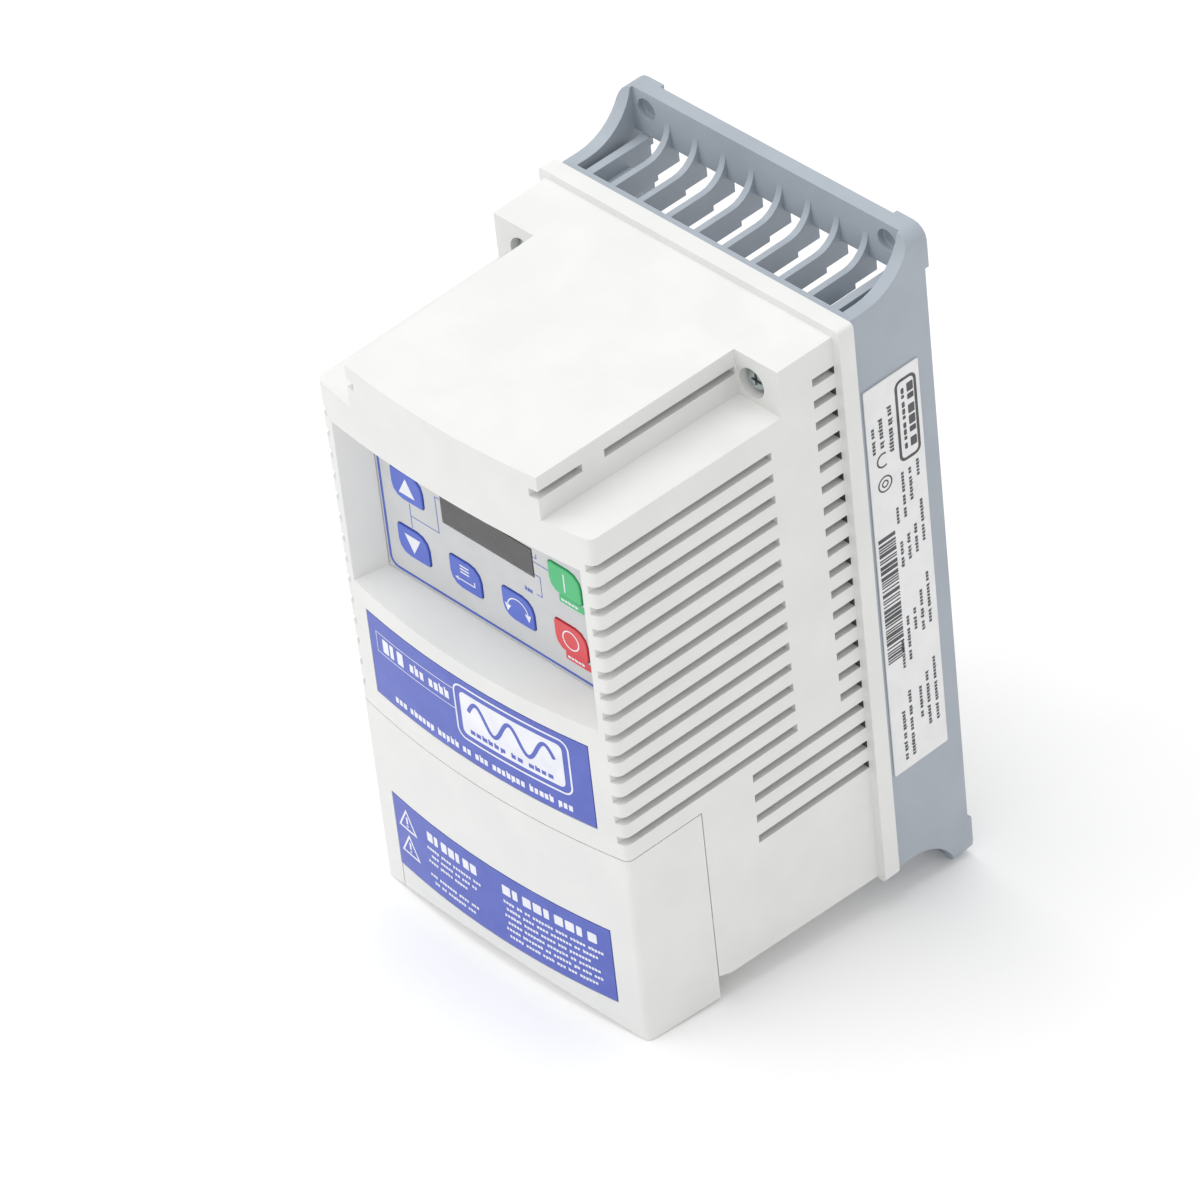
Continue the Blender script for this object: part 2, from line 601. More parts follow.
def make_rear_base(mat):
    """Grey base: mounting plate ends, side walls, front wall, ribs and screw bosses."""
    rim_top = HEIGHT - BASE_RIM_DROP
    rim_bottom = BASE_RIM_DROP
    bm = bmesh.new()
    add_prism(bm, base_side_outline(), "X", -BASE_HALF_WIDTH, BASE_HALF_WIDTH)
    base = make_object("rear_base", bm, mat)

    inner_half = BASE_HALF_WIDTH - BASE_WALL
    wall_back = BASE_FRONT_Y + BASE_FRONT_WALL

    def hollow(tool):
        # the open middle: behind the front wall, between the side walls, up to the plates
        add_block(tool, (-inner_half, inner_half), (wall_back, FAR),
                  (PLATE_BAND, HEIGHT - PLATE_BAND))

    def over_the_rim(tool):
        # above and below the ribs only the mounting plate is left between the walls
        for low, high in ((HEIGHT - PLATE_BAND - 1, HEIGHT + FAR), (-FAR, PLATE_BAND + 1)):
            add_block(tool, (-inner_half, inner_half), (wall_back, PLATE_FRONT_Y), (low, high))

    cut_with(base, hollow)
    cut_with(base, over_the_rim)

    window_half = (FIN_COUNT - 1) / 2 * FIN_PITCH + FIN_THICKNESS / 2 + 1.5

    def sink_window(tool):
        add_block(tool, (-window_half, window_half), (BASE_FRONT_Y - PAST, wall_back + PAST),
                  (FIN_BOTTOM - 2, FIN_TOP + 2))

    cut_with(base, sink_window)

    wall_low = INNER_WALL_X - INNER_WALL_THICKNESS / 2
    wall_high = INNER_WALL_X + INNER_WALL_THICKNESS / 2
    wall_top = rim_top - RIB_DROP
    inner_end = BASE_FRONT_Y + INNER_WALL_LENGTH

    def inner_walls(tool):
        for low, high in ((wall_low, wall_high), (-wall_high, -wall_low)):
            add_block(tool, (low, high), (wall_back - 1, inner_end),
                      (rim_bottom + RIB_DROP, wall_top))

    def bosses(tool):
        for x, z in screw_points():
            add_rod(tool, x, z, BASE_BOSS_RADIUS, "Y", BASE_FRONT_Y + 0.5,
                    BASE_FRONT_Y + BASE_BOSS_LENGTH, 16)

    def upper_ribs(tool):
        for i in range(RIB_COUNT):
            x = (i - (RIB_COUNT - 1) / 2) * RIB_PITCH
            add_prism(tool, rib_outline(), "X", x - RIB_THICKNESS / 2, x + RIB_THICKNESS / 2)

    def lower_ribs(tool):
        flipped = [(y, HEIGHT - z) for y, z in rib_outline()]
        for i in range(RIB_COUNT):
            x = (i - (RIB_COUNT - 1) / 2) * RIB_PITCH
            add_prism(tool, flipped, "X", x - RIB_THICKNESS / 2, x + RIB_THICKNESS / 2)

    def wall_tips(tool):
        # the inner walls reach the mounting plate only as a low rail beside the ribs
        for low, high in ((wall_low, wall_high), (-wall_high, -wall_low)):
            for z_low, z_high in ((wall_top - INNER_RAIL_HEIGHT, wall_top),
                                  (rim_bottom + RIB_DROP,
                                   rim_bottom + RIB_DROP + INNER_RAIL_HEIGHT)):
                add_block(tool, (low, high), (inner_end - 1, PLATE_FRONT_Y + 1),
                          (z_low, z_high))

    def pads(tool):
        # pads behind the mounting holes, flush with the plate's ends
        for low, high in ((PAD_INNER_X, BASE_HALF_WIDTH), (-BASE_HALF_WIDTH, -PAD_INNER_X)):
            for z_low, z_high in ((0.0, PLATE_BAND - 1), (HEIGHT - PLATE_BAND + 1, HEIGHT)):
                add_block(tool, (low, high), (PLATE_BACK_Y - 1, BACK_Y), (z_low, z_high))

    for build in (inner_walls, bosses, upper_ribs, lower_ribs, wall_tips, pads):
        join_with(base, build)

    def outer_frame(tool):
        radii = [PLATE_CORNER_RADIUS] * 4
        outline = rounded_rectangle(-BASE_HALF_WIDTH, BASE_HALF_WIDTH, 0, HEIGHT, radii)
        add_prism(tool, outline, "Y", -FAR, FAR)

    keep_inside(base, outer_frame)

    def mount_holes(tool):
        for x, z in mount_points():
            add_rod(tool, x, z, MOUNT_HOLE_RADIUS, "Y", PLATE_FRONT_Y - PAST, FAR, 16)

    def mount_sinks(tool):
        for x, z in mount_points():
            add_rod(tool, x, z, MOUNT_SINK_RADIUS, "Y", PLATE_FRONT_Y - PAST,
                    PLATE_FRONT_Y + MOUNT_SINK_DEPTH, 16)

    def thread_holes(tool):
        for x, z in screw_points():
            add_rod(tool, x, z, SHANK_RADIUS + GAP, "Y", BASE_FRONT_Y - PAST,
                    BASE_FRONT_Y + THREAD_DEPTH, SMALL_ROUND_SIDES)
        for x, z in sink_screw_points():
            add_rod(tool, x, z, SHANK_RADIUS + GAP, "Y", BASE_FRONT_Y - PAST,
                    BASE_FRONT_Y + SINK_THREAD_DEPTH, SMALL_ROUND_SIDES)

    for build in (mount_holes, mount_sinks, thread_holes):
        cut_with(base, build)
    return base


# ---------------------------------------------------------------- front housing

def louvre_z(row):
    """Upper edge of a louvre row, counted from the top."""
    return BODY_TOP - LOUVRE_TOP_DROP - row * LOUVRE_PITCH


def add_louvres(bm):
    """All side slots: short ones beside the band, long ones that wrap the front corner."""
    inside = corner_x() - WRAP_REACH
    rear_end = BAND_FRONT_Y - 0.1
    slots = []
    for row in range(REAR_SLOT_ROWS):
        slots.append((rear_end - REAR_SLOT_LENGTH, rear_end, row))
    for row in range(FRONT_SLOT_FIRST_ROW, FRONT_SLOT_FIRST_ROW + FRONT_SLOT_ROWS):
        slots.append((FRONT_Y - FAR, JOINT_Y - FRONT_SLOT_END, row))
    for row in range(REAR_SLOT_ROWS, REAR_SLOT_ROWS + LOW_SLOT_ROWS):
        slots.append((rear_end - LOW_SLOT_LENGTH, rear_end, row))
    for start, end, row in slots:
        high = louvre_z(row)
        low = high - LOUVRE_HEIGHT
        add_block(bm, (inside, FAR), (start, end), (low, high))
        add_block(bm, (-FAR, -inside), (start, end), (low, high))


def add_top_slits(bm):
    """Slits in the sides of the raised middle: a short one round the corner, a long one."""
    inside = CENTRE_HALF_FRONT - SLIT_WRAP
    high = BODY_TOP - SLIT_DROP
    short_end = FRONT_Y + SHORT_SLIT_LENGTH
    long_start = short_end + SLIT_BRIDGE
    for start, end in ((FRONT_Y - FAR, short_end), (long_start, STEP_Y - 0.4)):
        add_block(bm, (inside, FAR), (start, end), (high - SLIT_HEIGHT, high))
        add_block(bm, (-FAR, -inside), (start, end), (high - SLIT_HEIGHT, high))


def key_places():
    """Name, centre x, centre z and material name of each key."""
    return [
        ("key_up", -KEY_OUTER_X, KEY_TOP_ROW, "key_blue"),
        ("key_down", -KEY_OUTER_X, KEY_BOTTOM_ROW, "key_blue"),
        ("key_mode", -KEY_INNER_X, KEY_BOTTOM_ROW, "key_blue"),
        ("key_direction", KEY_INNER_X, KEY_BOTTOM_ROW, "key_blue"),
        ("key_start", KEY_OUTER_X, KEY_TOP_ROW, "key_green"),
        ("key_stop", KEY_OUTER_X, KEY_BOTTOM_ROW, "key_red"),
    ]


def key_outline(x, z, grow):
    """Leaf-like key: two opposite corners tight, two generously rounded."""
    half_w = KEY_WIDTH / 2 + grow
    half_h = KEY_HEIGHT / 2 + grow
    small = KEY_SMALL_RADIUS + grow
    large = KEY_LARGE_RADIUS + grow
    return rounded_rectangle(x - half_w, x + half_w, z - half_h, z + half_h,
                             (large, small, large, small), 3)


def side_view(rear_y, top_inset, bottom_inset, shelf_z, deck_y):
    """Side view of the housing, with the corner that the terminal cover fills left out."""
    front = FRONT_Y - FAR
    return [
        (rear_y, body_bottom(rear_y) + bottom_inset),
        (rear_y, body_top(rear_y) - top_inset),
        (front, body_top(front) - top_inset),
        (front, shelf_z),
        (deck_y, shelf_z),
        (deck_y, body_bottom(deck_y) + bottom_inset),
    ]


def add_ledge_blocks(bm, grow):
    """What is missing beside the raised middle of the top, grown by a wall."""
    front = FRONT_Y - FAR
    for side in (-1, 1):
        outline = [
            (side * (centre_half(STEP_Y) - grow), STEP_Y + grow),
            (side * FAR, STEP_Y + grow),
            (side * FAR, front),
            (side * (centre_half(front) - grow), front),
        ]
        add_prism(bm, outline, "Z", LEDGE_Z - grow, HEIGHT + FAR)


def make_front_housing(mat):
    """White shell: band, body, raised top, keypad recess, louvres and terminal deck."""
    bm = bmesh.new()
    add_prism(bm, plan_outline(0.0, HOUSING_REAR_Y), "Z", -FAR, HEIGHT + FAR)
    housing = make_object("front_housing", bm, mat)
    shelf_z = SEAM_Z + HALF_GAP

    def outer_side_view(tool):
        outline = side_view(JOINT_Y + PAST, 0.0, 0.0, shelf_z, DECK_FRONT_Y)
        add_prism(tool, outline, "X", -FAR, FAR)

    def ledges(tool):
        add_ledge_blocks(tool, 0.0)

    def band(tool):
        outline = rounded_rectangle(-WIDTH / 2, WIDTH / 2, BAND_BOTTOM, BAND_TOP,
                                    [BAND_CORNER_RADIUS] * 4)
        add_prism(tool, outline, "Y", BAND_FRONT_Y, HOUSING_REAR_Y)

    keep_inside(housing, outer_side_view)
    cut_with(housing, ledges)
    join_with(housing, band)

    bm = bmesh.new()
    add_prism(bm, plan_outline(WALL, JOINT_Y + PAST), "Z", -FAR, HEIGHT + FAR)
    cavity = make_object("cavity", bm, None)

    def inner_side_view(tool):
        outline = side_view(JOINT_Y + 8, WALL, WALL, shelf_z + WALL, DECK_REAR_Y)
        add_prism(tool, outline, "X", -FAR, FAR)

    def inner_ledges(tool):
        add_ledge_blocks(tool, WALL)

    def recess_shell(tool):
        _, x_low, x_high, z_low, z_high = recess_end(PANEL_FRONT_Y, RECESS_WALL)
        add_frustum(tool, recess_end(FRONT_Y - 2, RECESS_WALL),
                    (FLOOR_REAR_Y, x_low, x_high, z_low, z_high))

    def upper_bosses(tool):
        for x in (-SCREW_X, SCREW_X):
            add_rod(tool, x, TOP_SCREW_Z, BOSS_RADIUS, "Y", STEP_Y - PAST, HOUSING_REAR_Y,
                    16)

    def lower_bosses(tool):
        for x in (-SCREW_X, SCREW_X):
            add_rod(tool, x, BOTTOM_SCREW_Z, BOSS_RADIUS, "Y", DECK_FRONT_Y - PAST,
                    HOUSING_REAR_Y, 16)

    keep_inside(cavity, inner_side_view)
    for build in (inner_ledges, recess_shell, upper_bosses, lower_bosses):
        cut_with(cavity, build)
    combine(housing, cavity, "DIFFERENCE")

    def recess(tool):
        add_frustum(tool, recess_end(FRONT_Y - 4, 0.0), recess_end(PANEL_FRONT_Y, 0.0))

    def panel_seat(tool):
        _, x_low, x_high, z_low, z_high = recess_end(PANEL_FRONT_Y, 0.0)
        add_block(tool, (x_low, x_high), (PANEL_FRONT_Y - 0.1, FLOOR_FRONT_Y),
                  (z_low, z_high))

    def floor_windows(tool):
        for _, x, z, _ in key_places():
            margin = KEY_FLANGE + GAP
            add_block(tool, (x - KEY_WIDTH / 2 - margin, x + KEY_WIDTH / 2 + margin),
                      (FLOOR_FRONT_Y - 1, FLOOR_REAR_Y + 1),
                      (z - KEY_HEIGHT / 2 - margin, z + KEY_HEIGHT / 2 + margin))
        add_block(tool, (DISPLAY_LEFT + DISPLAY_LEDGE, DISPLAY_RIGHT - DISPLAY_LEDGE),
                  (FLOOR_FRONT_Y - 1, FLOOR_REAR_Y + 1),
                  (DISPLAY_BOTTOM + DISPLAY_LEDGE, DISPLAY_TOP - DISPLAY_LEDGE))

    def screw_wells(tool):
        well_end = STEP_Y + HEAD_WELL_DEPTH
        for x in (-SCREW_X, SCREW_X):
            add_rod(tool, x, TOP_SCREW_Z, HEAD_WELL_RADIUS, "Y", STEP_Y - PAST, well_end, 20)
            add_rod(tool, x, BOTTOM_SCREW_Z, HEAD_WELL_RADIUS, "Y", DECK_FRONT_Y - PAST,
                    well_end, 16)

    def screw_holes(tool):
        for x, z in screw_points():
            add_rod(tool, x, z, SHANK_RADIUS + GAP, "Y", STEP_Y + 1, JOINT_Y + PAST,
                    SMALL_ROUND_SIDES)

    def label_pocket(tool):
        label_band(tool, grown(FRONT_LABEL, GAP), LABEL_POCKET, -1.5)

    def rear_chamfer(tool):
        start = DECK_FRONT_Y - HALF_GAP
        end = DECK_FRONT_Y + CHAMFER_LENGTH
        outline = [(start, -FAR), (end, -FAR), (end, body_bottom(end)),
                   (start, body_bottom(start) + CHAMFER_RISE)]
        add_prism(tool, outline, "X", -FAR, FAR)

    def deck_windows(tool):
        for x_low, x_high, z_low, z_high in deck_openings():
            add_block(tool, (x_low, x_high), (DECK_FRONT_Y - 1, DECK_REAR_Y + 1),
                      (z_low, z_high))

    for build in (recess, panel_seat, floor_windows, add_louvres, add_top_slits, screw_wells,
                  screw_holes, label_pocket, rear_chamfer, deck_windows):
        cut_with(housing, build)
    return housing


# ---------------------------------------------------------------- terminal bay pieces

def deck_openings():
    """Openings in the deck that the terminal pieces pass through."""
    return [
        grown(piece, 0.5)
        for piece in (POWER_BLOCK, CONTROL_BLOCK, MEMORY_MODULE, SWITCH_BODY)
    ]


def pole_positions(block, count):
    """Middle of each pole along a terminal block."""
    pitch = (block[1] - block[0]) / count
    return [block[0] + pitch * (i + 0.5) for i in range(count)]


def make_power_block(mat):
    """Seven-pole screw terminal for mains, motor and earth."""
    x_low, x_high, z_low, z_high = POWER_BLOCK
    bm = bmesh.new()
    add_block(bm, (x_low, x_high), (POWER_BLOCK_FRONT_Y, CONTROL_BOARD_FRONT_Y - GAP),
              (z_low, z_high))
    block = make_object("power_terminal_block", bm, mat)

    def wells(tool):
        for x in pole_positions(POWER_BLOCK, POLE_COUNT):
            add_rod(tool, x, z_high - POLE_WELL_DROP, POLE_WELL_RADIUS, "Y",
                    POWER_BLOCK_FRONT_Y - PAST, POWER_BLOCK_FRONT_Y + POLE_WELL_DEPTH,
                    SMALL_ROUND_SIDES)

    def wire_entries(tool):
        for x in pole_positions(POWER_BLOCK, POLE_COUNT):
            add_block(tool, (x - WIRE_ENTRY[0] / 2, x + WIRE_ENTRY[0] / 2),
                      (POWER_BLOCK_FRONT_Y + WIRE_ENTRY_FROM,
                       POWER_BLOCK_FRONT_Y + WIRE_ENTRY_TO),
                      (z_low - 2, z_low + WIRE_ENTRY[1]))

    cut_with(block, wells)
    cut_with(block, wire_entries)
    return block


def make_screw(name, x, z, head_y, head, length, mat):
    """A pan-head screw along +Y with a cross slot; head is its radius and height."""
    head_radius, head_height = head
    arm = head_radius * CROSS_ARM
    slot = head_radius * CROSS_HALF_WIDTH
    depth = head_height * CROSS_DEPTH
    bm = bmesh.new()
    steps = 4
    rings = [(0.0, head_y + head_height), (head_radius, head_y + head_height)]
    for i in range(steps + 1):
        angle = math.pi / 2 * i / steps
        rings.append((
            head_radius * (0.45 + 0.55 * math.cos(angle)),
            head_y + head_height * (0.62 - 0.62 * math.sin(angle)),
        ))
    rings.append((0.0, head_y))
    add_turned(bm, rings, x, z)
    screw = make_object(name, bm, mat, smooth=True)

    def shank(tool):
        add_rod(tool, x, z, SHANK_RADIUS, "Y", head_y + head_height / 2,
                head_y + head_height + length, SMALL_ROUND_SIDES)

    def level_slot(tool):
        add_block(tool, (x - arm, x + arm), (head_y - 2, head_y + depth), (z - slot, z + slot))

    def upright_slot(tool):
        add_block(tool, (x - slot, x + slot), (head_y - 2, head_y + depth), (z - arm, z + arm))

    join_with(screw, shank)
    cut_with(screw, level_slot)
    cut_with(screw, upright_slot)
    return screw


def add_turned(bm, profile, x, z, sides=SMALL_ROUND_SIDES + 4):
    """Turn (radius, y) points round an axis along Y; both ends lie on the axis."""
    rings = []
    for radius, y in profile:
        if radius == 0.0:
            rings.append([bm.verts.new((x, y, z))])
            continue
        rings.append([
            bm.verts.new((a, y, b)) for a, b in circle_outline(x, z, radius, sides)
        ])
    for near, far in zip(rings, rings[1:]):
        for i in range(sides):
            j = (i + 1) % sides
            if len(near) == 1:
                bm.faces.new((near[0], far[i], far[j]))
            elif len(far) == 1:
                bm.faces.new((near[i], near[j], far[0]))
            else:
                bm.faces.new((near[i], near[j], far[j], far[i]))


def make_control_block(mat):
    """Row of small spring terminals for the control wires."""
    x_low, x_high, z_low, z_high = CONTROL_BLOCK
    width, height, depth = RELEASE_SLOT
    bm = bmesh.new()
    add_block(bm, (x_low, x_high), (CONTROL_BLOCK_FRONT_Y, CONTROL_BOARD_FRONT_Y - GAP),
              (z_low, z_high))
    block = make_object("control_terminal_block", bm, mat)

    def entries(tool):
        for x in pole_positions(CONTROL_BLOCK, CONTROL_POLE_COUNT):
            add_rod(tool, x, z_low + CONTROL_ENTRY_RISE, CONTROL_ENTRY_RADIUS, "Y",
                    CONTROL_BLOCK_FRONT_Y - PAST,
                    CONTROL_BLOCK_FRONT_Y + CONTROL_ENTRY_DEPTH, 8)
            add_block(tool, (x - width / 2, x + width / 2),
                      (CONTROL_BLOCK_FRONT_Y - PAST, CONTROL_BLOCK_FRONT_Y + depth),
                      (z_high - RELEASE_DROP - height, z_high - RELEASE_DROP))

    cut_with(block, entries)
    return block


def make_memory_module(mat):
    """Plug-in memory module with grip grooves; it pulls straight out."""
    x_low, x_high, z_low, z_high = MEMORY_MODULE
    radii = [MEMORY_CORNER_RADIUS] * 4
    bm = bmesh.new()
    outline = rounded_rectangle(x_low, x_high, z_low, z_high, radii, 3)
    add_prism(bm, outline, "Y", MEMORY_FRONT_Y, DECK_REAR_Y - MEMORY_PLUG_GAP)
    module = make_object("memory_module", bm, mat)

    def grip(tool):
        middle = (z_low + z_high) / 2
        y_range = (MEMORY_FRONT_Y + GRIP_FROM, MEMORY_FRONT_Y + GRIP_TO)
        for z in (middle - GRIP_PITCH, middle, middle + GRIP_PITCH):
            z_range = (z - GRIP_HALF_WIDTH, z + GRIP_HALF_WIDTH)
            add_block(tool, (x_low - PAST, x_low + GRIP_DEPTH), y_range, z_range)
            add_block(tool, (x_high - GRIP_DEPTH, x_high + PAST), y_range, z_range)

    cut_with(module, grip)
    return module


def make_memory_socket(mat):
    """Socket on the control board that the memory module plugs onto."""
    x_low, x_high, z_low, z_high = grown(MEMORY_MODULE, -SOCKET_INSET)
    bm = bmesh.new()
    add_block(bm, (x_low, x_high),
              (DECK_REAR_Y - MEMORY_PLUG_GAP + GAP, CONTROL_BOARD_FRONT_Y - GAP),
              (z_low, z_high))
    return make_object("memory_socket", bm, mat)


def make_switch(body_mat, knob_mat):
    """Slide switch that sets the input logic, with its knob."""
    x_low, x_high, z_low, z_high = SWITCH_BODY
    middle = (z_low + z_high) / 2
    slot_low = x_low + SWITCH_SLOT_INSET
    slot_high = x_high - SWITCH_SLOT_INSET
    slot_floor = SWITCH_FRONT_Y + SWITCH_SLOT_DEPTH
    bm = bmesh.new()
    add_block(bm, (x_low, x_high), (SWITCH_FRONT_Y, CONTROL_BOARD_FRONT_Y - GAP),
              (z_low, z_high))
    body = make_object("logic_switch_body", bm, body_mat)

    def slot(tool):
        add_block(tool, (slot_low, slot_high), (SWITCH_FRONT_Y - PAST, slot_floor),
                  (middle - SWITCH_SLOT_HALF, middle + SWITCH_SLOT_HALF))

    cut_with(body, slot)
    knob_low = slot_low + GAP
    knob_high = slot_high - GAP - SWITCH_TRAVEL
    pivot = ((knob_low + knob_high) / 2, SWITCH_FRONT_Y, middle)
    bm = bmesh.new()
    add_block(bm, (knob_low, knob_high), (SWITCH_FRONT_Y - SWITCH_KNOB_PROUD, slot_floor - GAP),
              (middle - SWITCH_SLOT_HALF + GAP, middle + SWITCH_SLOT_HALF - GAP))
    make_object("logic_switch_knob", bm, knob_mat, pivot)


def make_terminal_screws(mat):
    """One clamp screw in each well of the power terminal."""
    z = POWER_BLOCK[3] - POLE_WELL_DROP
    for index, x in enumerate(pole_positions(POWER_BLOCK, POLE_COUNT)):
        bm = bmesh.new()
        add_rod(bm, x, z, POLE_WELL_RADIUS - GAP, "Y", POWER_BLOCK_FRONT_Y + CLAMP_SINK,
                POWER_BLOCK_FRONT_Y + POLE_WELL_DEPTH - GAP, SMALL_ROUND_SIDES)
        screw = make_object("terminal_screw_%d" % (index + 1), bm, mat, smooth=True)

        def slot(tool, at_x=x):
            add_block(tool, (at_x - PAST, at_x + PAST),
                      (POWER_BLOCK_FRONT_Y - PAST, POWER_BLOCK_FRONT_Y + CLAMP_SINK + 1.0),
                      (z - CLAMP_SLOT_HALF, z + CLAMP_SLOT_HALF))

        cut_with(screw, slot)


# ---------------------------------------------------------------- terminal cover

def make_terminal_cover(mat):
    """Removable lower front: bowed front wall, two sides and a floor with cable holes."""
    front = FRONT_Y - FAR
    rear = COVER_REAR_Y - HALF_GAP
    top = SEAM_Z - HALF_GAP
    rise = (COVER_BOTTOM_FRONT - COVER_BOTTOM_REAR) / (COVER_REAR_Y - FRONT_Y)

    def cover_bottom(y):
        return COVER_BOTTOM_REAR + rise * (COVER_REAR_Y - y)

    bm = bmesh.new()
    add_prism(bm, plan_outline(0.0, rear), "Z", -FAR, top)
    cover = make_object("terminal_cover", bm, mat)

    slope = COVER_BEVEL_HEIGHT / COVER_BEVEL_DEPTH
    bevel_y = FRONT_Y + COVER_BEVEL_DEPTH

    def cover_side(reach, high, lift, push):
        # side view: level top, sloping floor, and the bevel under the front
        start_y = bevel_y + push
        return [(rear + reach, cover_bottom(rear + reach) + lift), (rear + reach, high),
                (front, high), (front, cover_bottom(start_y) + lift + slope * (start_y - front)),
                (start_y, cover_bottom(start_y) + lift)]

    def outer_side_view(tool):
        add_prism(tool, cover_side(5, HEIGHT, 0.0, 0.0), "X", -FAR, FAR)

    keep_inside(cover, outer_side_view)

    bm = bmesh.new()
    add_prism(bm, plan_outline(WALL, rear + PAST), "Z", -FAR, HEIGHT)
    hollow = make_object("hollow", bm, None)

    def inner_side_view(tool):
        add_prism(tool, cover_side(8, HEIGHT + 5, WALL, WALL / 2), "X", -FAR, FAR)

    keep_inside(hollow, inner_side_view)
    combine(cover, hollow, "DIFFERENCE")

    def rear_lip(tool):
        half = body_half(rear) - WALL
        add_block(tool, (-half, half), (rear - COVER_LIP_DEPTH, rear),
                  (COVER_BOTTOM_REAR - COVER_LIP, COVER_BOTTOM_REAR + WALL / 2))

    join_with(cover, rear_lip)
    hole_y = (FRONT_Y + COVER_REAR_Y) / 2 + 1.0

    def cable_holes(tool):
        for i in range(CABLE_HOLE_COUNT):
            x = (i - (CABLE_HOLE_COUNT - 1) / 2) * CABLE_HOLE_PITCH
            add_rod(tool, x, hole_y, CABLE_HOLE_RADIUS, "Z", -FAR, COVER_BOTTOM_FRONT + 6, 20)

    def label_pocket(tool):
        label_band(tool, grown(CAUTION_LABEL, GAP), LABEL_POCKET, -1.5)

    def corner_slit(tool):
        x, width, depth, slit_top = COVER_SLIT
        add_block(tool, (x - width / 2, x + width / 2), (front, front_y(x) + depth),
                  (-FAR, slit_top))

    for build in (cable_holes, label_pocket, corner_slit):
        cut_with(cover, build)
    return cover


# ---------------------------------------------------------------- keypad

def make_keypad(mats):
    """Keypad panel, tinted display window, display block, six keys and their board."""
    half = RECESS_HALF_WIDTH - PANEL_INSET
    bm = bmesh.new()
    add_block(bm, (-half, half), (PANEL_FRONT_Y, PANEL_REAR_Y),
              (RECESS_BOTTOM + PANEL_INSET, RECESS_TOP - PANEL_INSET))
    panel = make_object("keypad_panel", bm, mats["panel_white"])

    def openings(tool):
        for _, x, z, _ in key_places():
            add_prism(tool, key_outline(x, z, GAP), "Y", PANEL_FRONT_Y - 2, PANEL_REAR_Y + 2)
        add_block(tool, (DISPLAY_LEFT, DISPLAY_RIGHT), (PANEL_FRONT_Y - 2, PANEL_REAR_Y + 2),
                  (DISPLAY_BOTTOM, DISPLAY_TOP))

    cut_with(panel, openings)

    bm = bmesh.new()
    add_block(bm, (DISPLAY_LEFT + GAP, DISPLAY_RIGHT - GAP), (PANEL_FRONT_Y, PANEL_REAR_Y),
              (DISPLAY_BOTTOM + GAP, DISPLAY_TOP - GAP))
    make_object("display_window", bm, mats["display_tint"])

    bm = bmesh.new()
    ledge = 2 * DISPLAY_LEDGE
    add_block(bm, (DISPLAY_LEFT + ledge, DISPLAY_RIGHT - ledge),
              (PANEL_REAR_Y + GAP, KEYPAD_BOARD_FRONT_Y - GAP),
              (DISPLAY_BOTTOM + ledge, DISPLAY_TOP - ledge))
    make_object("display_module", bm, mats["component_black"])

    cap_front = PANEL_FRONT_Y - KEY_PROUD
    cap_rear = PANEL_REAR_Y + GAP + KEY_FLANGE_THICKNESS
    stem_end = KEYPAD_BOARD_FRONT_Y - KEY_TRAVEL - GAP
    for name, x, z, mat_name in key_places():
        bm = bmesh.new()
        add_prism(bm, key_outline(x, z, 0.0), "Y", cap_front, PANEL_REAR_Y + GAP + 0.4)
        key = make_object(name, bm, mats[mat_name], (x, cap_rear, z))

        def stem(tool, at_x=x, at_z=z):
            add_rod(tool, at_x, at_z, KEY_STEM_RADIUS, "Y", cap_rear - 0.6, stem_end,
                    SMALL_ROUND_SIDES)

        def flange(tool, at_x=x, at_z=z):
            add_prism(tool, key_outline(at_x, at_z, KEY_FLANGE), "Y", PANEL_REAR_Y + GAP,
                      cap_rear)

        join_with(key, stem)
        join_with(key, flange)

    x_low, x_high, z_low, z_high = KEYPAD_BOARD
    bm = bmesh.new()
    add_block(bm, (x_low, x_high), (KEYPAD_BOARD_FRONT_Y, KEYPAD_BOARD_REAR_Y), (z_low, z_high))
    make_object("keypad_board", bm, mats["board_green"])


# ---------------------------------------------------------------- labels

def make_labels(mats):
    """Front label, caution label on the cover and the rating label on the base's side."""
    for name, label in (("front_label", FRONT_LABEL), ("caution_label", CAUTION_LABEL)):
        bm = bmesh.new()
        label_band(bm, label, LABEL_POCKET - GAP, LABEL_POCKET - GAP - LABEL_THICKNESS)
        make_object(name, bm, mats["label_blue"])
    y_low, y_high, z_low, z_high = SIDE_LABEL
    bm = bmesh.new()
    outline = rounded_rectangle(JOINT_Y + y_low, JOINT_Y + y_high, z_low, z_high,
                                [LABEL_CORNER] * 4, 3)
    add_prism(bm, outline, "X", BASE_HALF_WIDTH + 0.1, BASE_HALF_WIDTH + 0.1 + LABEL_THICKNESS)
    make_object("rating_label", bm, mats["label_white"])


# ---------------------------------------------------------------- heatsink, boards

def sink_screw_points():
    """Four screws that hold the heatsink plate to the base, as (x, z)."""
    return [
        (sx * SINK_SCREW_X, z)
        for sx in (-1, 1)
        for z in (SINK_PLATE_BOTTOM + SINK_SCREW_INSET, SINK_PLATE_TOP - SINK_SCREW_INSET)
    ]


